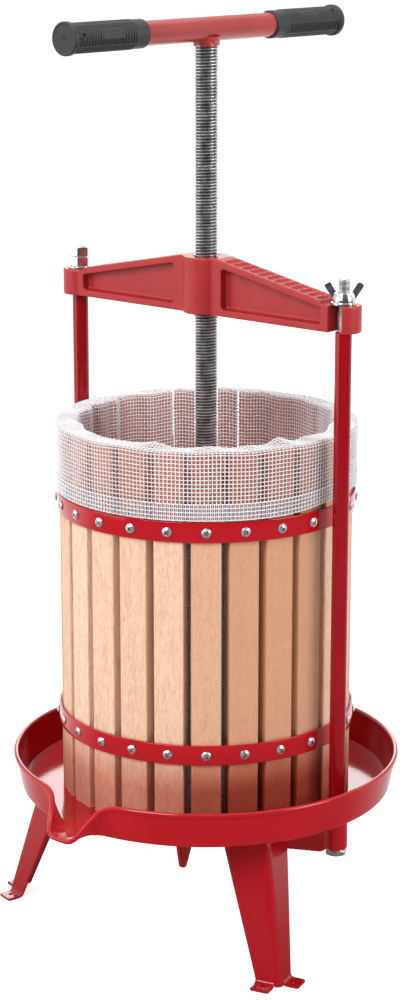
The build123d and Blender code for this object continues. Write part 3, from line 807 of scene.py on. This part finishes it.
# Rubber grips: a collar, a tread of knurled and ribbed zones with a bare oval badge and a ringed hole, a flange
grip_length, grip_rows, grip_columns = 0.1005, 301, 216
grip_r, grip_collar_r, grip_flange_r = 0.0141, 0.01365, 0.0155
collar_end, flange_start = (0.0155, 0.0162), (0.0950, 0.0957)
tread_ends, tread_soft = (0.0180, 0.0935), 0.0005
knurl_pitch, knurl_depth = 0.0021, 0.0008
rib_pitch, rib_depth, rib_flank = 0.0036, 0.0009, (0.25, 0.75)
zone_arc, zone_seam = math.pi / 4, (0.0003, 0.0008)
badge_place, badge_half = 0.0500, 0.0105
badge_clear, badge_line, badge_soft = (0.0048, 0.0054), (0.0036, 0.0046), 0.0002
hole_place, hole_depth, hole_wall = 0.0885, 0.0020, (0.0020, 0.0026)
hole_clear, hole_line, hole_soft = (0.0040, 0.0044), (0.0026, 0.0038), 0.0003
line_rise = 0.0004
grip_edge, grip_edge_run = 0.0005, 0.0006
grip_bore_gap = 0.0001
end_dish, end_dimple = 0.0006, 0.0009
dish_run, dimple_run = (0.06, 0.14), (0.84, 0.92)
end_shares = np.linspace(0.94, 0.04, 14)


def grip_radius(along, angle):
    """Radius of the moulded grip; angle is counted round it from the badge's middle."""
    girth = angle * grip_r
    collar = 1 - smooth_step(along, *collar_end)
    flange = smooth_step(along, *flange_start)
    tread = band(along, *tread_ends, tread_soft)
    to_seam = abs((angle + zone_arc / 2) % zone_arc - zone_arc / 2) * grip_r
    knurled = np.floor(angle / zone_arc) % 2 == 0
    rib = smooth_step(0.5 + 0.5 * np.cos(full_turn * along / rib_pitch), *rib_flank)
    knurl = np.sin(full_turn * along / knurl_pitch) * np.sin(full_turn * girth / knurl_pitch)
    badge = np.hypot(np.clip(abs(along - badge_place) - badge_half, 0, None), girth)
    hole = np.hypot(along - hole_place, girth)
    clear = smooth_step(badge, *badge_clear) * smooth_step(hole, *hole_clear)
    cut = np.where(knurled, knurl_depth * (0.5 - 0.5 * knurl), rib_depth * (1 - rib))
    radius = grip_r + (grip_collar_r - grip_r) * collar + (grip_flange_r - grip_r) * flange
    radius = radius - tread * clear * smooth_step(to_seam, *zone_seam) * cut
    radius = radius + line_rise * band(badge, *badge_line, badge_soft)
    radius = radius + tread * (line_rise * band(hole, *hole_line, hole_soft)
                               - hole_depth * (1 - smooth_step(hole, *hole_wall)))
    to_end = np.minimum(along, grip_length - along)
    return radius - grip_edge * (1 - smooth_step(to_end, 0.0, grip_edge_run))


def grip_mesh(name, turn, badge_lift):
    """A grip on the bar, its badge turned up from level by badge_lift."""
    along = np.linspace(0, grip_length, grip_rows)
    angle = np.linspace(-math.pi, math.pi, grip_columns, endpoint=False)
    radius = grip_radius(along[:, None], angle[None])
    rings = [(0.0, np.full_like(angle, bar_r + grip_bore_gap)), *zip(along, radius)]
    for share in end_shares:
        dish = end_dish * smooth_step(1 - share, *dish_run) + end_dimple * smooth_step(1 - share, *dimple_run)
        rings.append((grip_length - dish, radius[-1] * share))
    out = np.array([math.cos(turn), math.sin(turn), 0.0])
    level = np.array([-math.sin(handle_turn), math.cos(handle_turn), 0.0])
    side = level * math.cos(badge_lift) + up * math.sin(badge_lift)
    around = np.cos(angle)[:, None] * side + np.sin(angle)[:, None] * np.cross(out, side)
    start = out * (handle_half - grip_length) + up * handle_z
    return capped_tube(name, np.array([start + out * place + ring[:, None] * around for place, ring in rings]))


for node, turn, lift in (("front_grip", handle_turn, 12.0), ("rear_grip", handle_turn + math.pi, 48.0)):
    mesh = grip_mesh(node, turn, math.radians(lift))
    link(node + "_rubber", mesh, "screw", rubber, [node], smooth_angle=50.0)

# Net bag: cuff over the basket's top, lining and floor
strand_count = 242
row_step = 0.0036
strand_half_width, strand_half_thick = 0.00046, 0.00060
weave = 0.00034
cuff_r = bag_high.x + 0.0006
lining_r = 0.1288
hem_low = hoop_top + 0.002
net_floor_z = bag_low.z + 0.0012
rim_gap, rim_corner = 0.0014, 0.0032
corner_in, corner_drop = 0.0009, 0.0010
cuff_fold, lining_fold, smooth_fold = 0.0007, 0.0014, 0.0003
fold_fade = (0.10, 0.34)
cuff_side_rows, rim_rows = 17, 5
swing_shift, plate_gap = 0.0105, 0.0009
net_angle = np.linspace(0, full_turn, strand_count, endpoint=False)

# Bumps round the basket: plan angle and half width in degrees, size in metres
hem_lift = [(14.0, 24.0, 0.0072)]
rim_peaks = [(-71, 5, 0.0034), (-33, 4, 0.0016), (-18, 4, 0.0040), (-4, 3, 0.0018), (166, 6, 0.0020),
             (143, 5, 0.0020), (122, 5, 0.0022), (103, 5, 0.0022), (-118, 6, 0.0016)]
lining_pleats = [(178, 2.5, 0.0060), (166, 5, 0.0030), (146, 4, 0.0040), (-160, 4, 0.0040), (22, 5, 0.0030)]


def waves(counts, sizes):
    """A smooth, seeded unevenness round the basket, one value for each strand."""
    phases = chance.uniform(0, full_turn, len(counts))
    return sum(size * np.sin(count * net_angle + phase) for count, size, phase in zip(counts, sizes, phases))


def peaks(places):
    """Soft bumps round the basket, one value for each strand."""
    total = np.zeros(strand_count)
    for angle, width, size in places:
        off = (net_angle - math.radians(angle) + math.pi) % full_turn - math.pi
        total = total + size * np.exp(-(off / math.radians(width)) ** 2)
    return total


def bag_grid():
    """Points of the net's surface from the hem's edge, over the rim and down the lining; row 0 is the hem."""
    hem_z = hem_low + peaks(hem_lift)
    rim = basket_top + rim_gap + waves((5, 11, 17), (0.0003, 0.0003, 0.0003))
    crest = rim + peaks(rim_peaks) + waves((13, 19), (0.0003, 0.0003))
    out_fold = cuff_fold + waves((7, 13, 22), (0.0003, 0.0004, 0.0003))
    room = lining_r - plate_r - swing_shift * np.clip(np.sin(net_angle), 0, None) - plate_gap
    in_fold = lining_fold + waves((9, 14, 23), (0.0011, 0.0013, 0.0009)) + peaks(lining_pleats)
    in_fold = np.clip(in_fold, 0, room)
    outer, inner = cuff_r + out_fold, lining_r - in_fold
    rows = []
    for share in np.linspace(0, 1, cuff_side_rows):
        rows.append((cuff_r + out_fold * share, hem_z + (rim - rim_corner - hem_z) * share))
    rows.append((outer - corner_in, rim - corner_drop))
    for share in np.linspace(0, 1, rim_rows):
        over = outer - rim_corner + (inner - outer + 2 * rim_corner) * share
        rows.append((over, rim + (crest - rim) * smooth_step(share, 0.0, 1.0)))
    rows.append((inner + corner_in, crest - corner_drop))
    start = crest - rim_corner
    for share in np.linspace(0, 1, int((basket_top - net_floor_z) / row_step)):
        fade = 1 - smooth_step(share, *fold_fade)
        radius = lining_r - in_fold * fade - smooth_fold * (1 - fade)
        rows.append((radius, start + (net_floor_z - start) * share))
    radius, height = np.array(rows).swapaxes(0, 1)
    return np.stack([radius * np.cos(net_angle), radius * np.sin(net_angle), height], -1)


def strands(centres, wide, thick, closed, start):
    """Flat four-sided strands along the second axis of centres; wide and thick are their half sections."""
    section = np.stack([centres + wide, centres + thick, centres - wide, centres - thick], 2)
    lines, steps = section.shape[:2]
    ends = np.array([[0, 1, 2, 3], [3, 2, 1, 0]])
    ends[1] += (steps - 1) * 4
    faces = []
    for first in start + np.arange(lines) * steps * 4:
        faces.append(grid_faces(steps, 4, closed, True, first))
        if not closed:
            faces.append(first + ends)
    return section.reshape(-1, 3), np.concatenate(faces)


def net_mesh(name, points, step=1, raised=0.0):
    """Woven strands both ways on a grid of rows and columns; step leaves out bends of a plain stretch."""
    around = unit(np.roll(points, -1, axis=1) - np.roll(points, 1, axis=1))
    along = unit(np.gradient(points, axis=0))
    out = unit(np.cross(around, along))
    rows, columns = np.indices(points.shape[:2])
    lift = (np.where((rows + columns) % 2, weave, -weave) * (step == 1))[..., None] * out
    points = points + raised * out
    thick = out * strand_half_thick
    upright = [array.swapaxes(0, 1)[:, ::step] for array in (points + lift, around * strand_half_width, thick)]
    level = [array[:, ::step] for array in (points - lift, along * strand_half_width, thick)]
    first, first_faces = strands(*upright, False, 0)
    second, second_faces = strands(*level, True, len(first))
    return make_mesh(name, np.concatenate([first, second]), np.concatenate([first_faces, second_faces]))


def flat_net(name, radius, z):
    """A round of net with straight strands on two crossing ways."""
    offsets = np.arange(-radius + row_step / 2, radius, row_step)
    points, faces, count = [], [], 0
    for way in (0, 1):
        for offset in offsets:
            half_chord = math.sqrt(radius ** 2 - offset ** 2)
            line, wide, thick = np.zeros((3, 1, 2, 3))
            line[0, :, way] = (-half_chord, half_chord)
            line[0, :, 1 - way] = offset
            line[0, :, 2] = z + (weave if way else -weave)
            wide[..., 1 - way] = strand_half_width
            thick[..., 2] = strand_half_thick
            new_points, new_faces = strands(line, wide, thick, False, count)
            points.append(new_points)
            faces.append(new_faces)
            count += len(new_points)
    return make_mesh(name, np.concatenate(points), np.concatenate(faces))


def bag_piece(name, mesh):
    """A part of the net bag."""
    return link(name, mesh, "basket", net_white, ["filter_bag"])


net = bag_grid()
cuff_rows, upper_rows, hem_rows = 26, 58, 5
hem_raised, floor_inset, plain_step = 0.0009, 0.001, 3
hem_points = (net[:hem_rows] + np.roll(net[:hem_rows], -1, axis=1)) / 2
cuff = bag_piece("bag_cuff", net_mesh("bag_cuff", net[:cuff_rows]))
hem = bag_piece("bag_hem", net_mesh("bag_hem", hem_points, raised=hem_raised))
upper = bag_piece("bag_lining_upper", net_mesh("bag_lining_upper", net[cuff_rows - 1:upper_rows]))
lower = bag_piece("bag_lining_lower", net_mesh("bag_lining_lower", net[upper_rows - 1:], plain_step))
floor_net = bag_piece("bag_floor", flat_net("bag_floor", lining_r - floor_inset, net_floor_z))

# Camera at the photograph's place
camera_data = bpy.data.cameras.new("camera")
camera_data.sensor_width = 36.0
camera_data.lens = 87.873
camera_pitch, camera_turn = math.radians(14.525), math.radians(40.235)
camera = placed("camera", camera_data)
camera.location = (1.5254, -1.8107, 1.0506)
camera.rotation_euler = (math.pi / 2 - camera_pitch, 0.0, camera_turn)
scene.camera = camera

# Floor and world, whose reflections are white behind the object and dimmer in front of it
floor_half = 60.0
floor_pale = 0.8
floor_dimmed = 0.8
floor_span, world_span = (-0.1, 0.7), (-0.8, 0.2)
world_front, world_plain = 0.10, 0.35
back_way = (-0.645, 0.764, 0.0)
white = (1.0, 1.0, 1.0, 1.0)


def how_far_back(tree, place):
    """How far a point or a direction goes away from the camera."""
    return add_node(tree, "VectorMath", {0: place, 1: back_way}, operation="DOT_PRODUCT").outputs["Value"]


def lit_to(tree, path, backs, span, front, plain):
    """1 to the camera, plain to other light, and to reflections front to 1 as backs goes through span."""
    mirrored = math_node(tree, "MAXIMUM", path.outputs["Is Glossy Ray"], path.outputs["Is Transmission Ray"])
    seen = times(tree, mirrored, grey_ramp(tree, backs, *span, front - plain, 1.0 - plain))
    return plus(tree, seen, plain, times(tree, path.outputs["Is Camera Ray"], 1.0 - plain))


def floor_material():
    """Pale floor that is white to the camera and keeps the shadow."""
    material, tree, shader = blank("floor_white", 0.7, Specular_IOR_Level=0.0, Emission_Color=white)
    path = add_node(tree, "LightPath")
    backs = how_far_back(tree, add_node(tree, "TexCoord").outputs["Object"])
    glow = times(tree, lit_to(tree, path, backs, floor_span, front=0.0, plain=0.0), floor_pale)
    dim = times(tree, path.outputs["Is Glossy Ray"], grey_ramp(tree, backs, *floor_span, floor_dimmed, 0.0))
    feed(tree, shader, Emission_Strength=glow, Base_Color=times(tree, minus(tree, 1.0, dim), floor_pale))
    return material


def studio_world():
    """A white backdrop behind the object and a dimmer room in front of it."""
    world = bpy.data.worlds.new("studio")
    world.use_nodes = True
    tree = world.node_tree
    background = tree.nodes["Background"]
    background.inputs["Color"].default_value = white
    path = add_node(tree, "LightPath")
    backs = how_far_back(tree, add_node(tree, "TexCoord").outputs["Generated"])
    feed(tree, background, Strength=lit_to(tree, path, backs, world_span, world_front, world_plain))
    return world


floor_mesh = make_mesh("floor", [(-floor_half, -floor_half, 0), (floor_half, -floor_half, 0),
                                 (floor_half, floor_half, 0), (-floor_half, floor_half, 0)], [(0, 1, 2, 3)])
floor_mesh.materials.append(floor_material())
placed("floor", floor_mesh)
scene.world = studio_world()

# Lamps
basket_middle, tray_middle = (0.0, 0.0, 0.45), (0.0, 0.0, 0.15)


def softbox(name, place, aim, width, height, watts):
    """A rectangular area lamp that faces a point."""
    lamp = bpy.data.lights.new(name, "AREA")
    lamp.shape = "RECTANGLE"
    lamp.size = width
    lamp.size_y = height
    lamp.energy = watts
    box = placed(name, lamp)
    box.location = place
    box.rotation_euler = (Vector(aim) - Vector(place)).to_track_quat("-Z", "Y").to_euler()


softbox("key", (0.1, -2.2, 2.3), basket_middle, width=1.3, height=1.3, watts=60.0)
softbox("left", (-1.5, -2.1, 0.9), basket_middle, width=1.4, height=1.8, watts=14.0)
softbox("side", (2.3, 0.5, 1.3), basket_middle, width=1.0, height=1.4, watts=34.0)
softbox("top", (-0.3, 0.3, 2.6), basket_middle, width=2.0, height=2.0, watts=22.0)
softbox("back", (-1.6, 2.0, 1.1), tray_middle, width=1.3, height=0.8, watts=12.0)

scene.view_settings.view_transform = "Standard"
